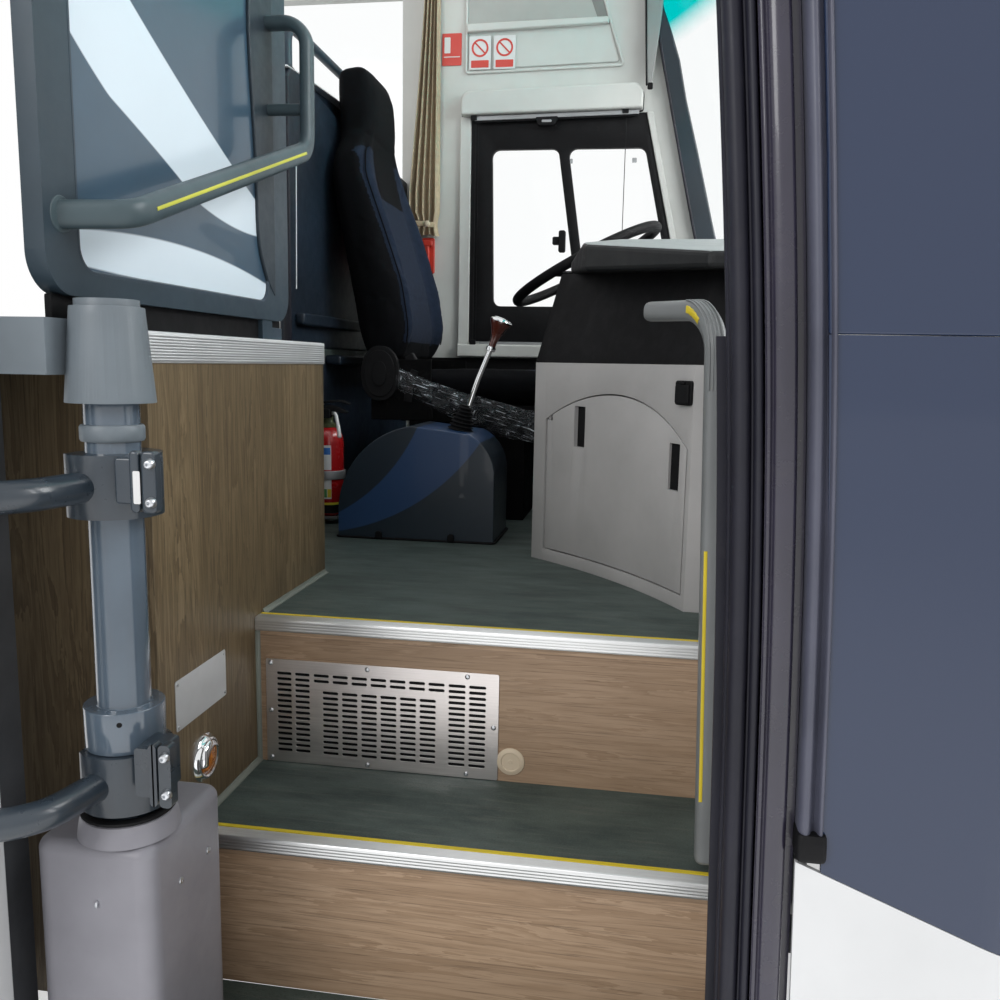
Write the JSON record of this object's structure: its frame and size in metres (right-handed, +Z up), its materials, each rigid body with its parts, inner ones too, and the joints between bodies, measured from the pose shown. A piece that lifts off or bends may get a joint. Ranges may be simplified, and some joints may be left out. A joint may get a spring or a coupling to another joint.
{
  "type": "coach front entrance and driver station section",
  "caption": "Front section of a coach cut out of the body: entrance steps, outward door on a turning column, driver's seat, dashboard and side window.",
  "frame": {"origin": "underside of the doorway sill rail, middle of the stairwell width", "axes": "+X to the front of the vehicle, +Y from the entrance to the driver's side, +Z up"},
  "size_m": [2.119, 2.635, 2.3],
  "materials": {
    "frame_paint": "satin",
    "white_body": "gloss",
    "white_trim": "satin",
    "grey_trim": "satin",
    "guard_blue": "satin",
    "panel_silver": "satin",
    "cover_slate": "satin",
    "black_plastic": "matte",
    "rubber_dark": "matte",
    "dark_gloss": "gloss",
    "vinyl_floor": "matte",
    "wood_laminate": "satin",
    "aluminium": "brushed",
    "stainless": "brushed",
    "galvanised": "matte",
    "beige_plastic": "satin",
    "seat_fabric": "woven",
    "curtain_fabric": "woven",
    "chrome": "polished",
    "column_paint": "gloss",
    "red_paint": "gloss",
    "clear_glass": "polished",
    "dark_glass": "polished"
  },
  "bodies": {
    "structure": {"base_frame": "frame_paint", "side_wall_right": "white_body", "side_window_right": "dark_glass", "side_window_left": "clear_glass", "side_wall_left": "white_trim", "front_shell": "white_body", "quarter_glass": "dark_glass", "windscreen": "clear_glass", "front_pillars": "dark_gloss", "door_header": "white_body", "window_frame": "black_plastic", "window_panes": "clear_glass", "entrance_floor": "vinyl_floor", "middle_tread": "vinyl_floor", "platform_floor": "vinyl_floor", "step_risers": "wood_laminate", "step_nosings": "aluminium", "riser_grille": "stainless", "riser_plug": "beige_plastic", "heater_case": "galvanised", "wood_wall": "wood_laminate", "driver_bulkhead": "guard_blue", "deck_floor": "vinyl_floor", "deck_trim": "aluminium", "aisle_steps": "vinyl_floor", "partition_frame": "grey_trim", "partition_panel": "panel_silver", "partition_handrail": "grey_trim", "driver_guard": "guard_blue", "guard_rail": "grey_trim", "seat_pedestal": "black_plastic", "gear_cover": "cover_slate", "gear_lever": "chrome", "extinguisher": "red_paint", "extinguisher_bracket": "galvanised", "dash_lower": "white_trim", "dash_cowl": "black_plastic", "dash_pad": "black_plastic", "steering_column": "black_plastic", "front_handrail": "grey_trim", "jamb_wall": "white_trim", "jamb_seal": "rubber_dark", "pillar_cover": "dark_gloss", "column_top_cover": "grey_trim", "drive_cover": "grey_trim", "shade_housing": "white_trim", "curtain": "curtain_fabric", "wall_hammer": "red_paint", "step_lamps": "chrome"},
    "door_drive": {"door_column": "column_paint", "door_arms": "column_paint"},
    "door": {"door_leaf": "white_body", "door_glass": "dark_glass"},
    "locker": {"locker_door": "white_trim"},
    "wheel": {"steering_wheel": "black_plastic"},
    "seat": {"seat_pan": "black_plastic", "seat_cushion": "seat_fabric", "recliner_cover": "black_plastic"},
    "backrest": {"seat_back": "seat_fabric"}
  },
  "joints": [
    {"name": "door_column_turn", "type": "hinge", "parent": "structure", "child": "door_drive", "pos_m": [-0.3375, 0.04, 0.4], "axis": [0, 0, 1], "range_deg": [0, 148.21]},
    {"name": "door_leaf_pivot", "type": "hinge", "parent": "door_drive", "child": "door", "pos_m": [-0.71328, -0.14, 0.472], "axis": [0, 0, 1], "range_deg": [-148.71, 0.5]},
    {"name": "locker_hinge", "type": "hinge", "parent": "structure", "child": "locker", "pos_m": [0.05531, 1.04979, 0.7], "axis": [0, 0, 1], "range_deg": [-80, 0]},
    {"name": "steering_turn", "type": "hinge", "parent": "structure", "child": "wheel", "pos_m": [0.078, 1.73, 1.235], "axis": [-0.4695, 0, 0.8829], "range_deg": [-720, 720]},
    {"name": "seat_slide", "type": "slide", "parent": "structure", "child": "seat", "axis": [1, 0, 0], "range_m": [0, 0.1]},
    {"name": "backrest_recline", "type": "hinge", "parent": "seat", "child": "backrest", "pos_m": [-0.445, 1.73, 0.933], "axis": [0, 1, 0], "range_deg": [0, 10]}
  ],
  "couplings": [
    {"joint": "door_leaf_pivot", "follows": "door_column_turn", "ratio": -1}
  ]
}
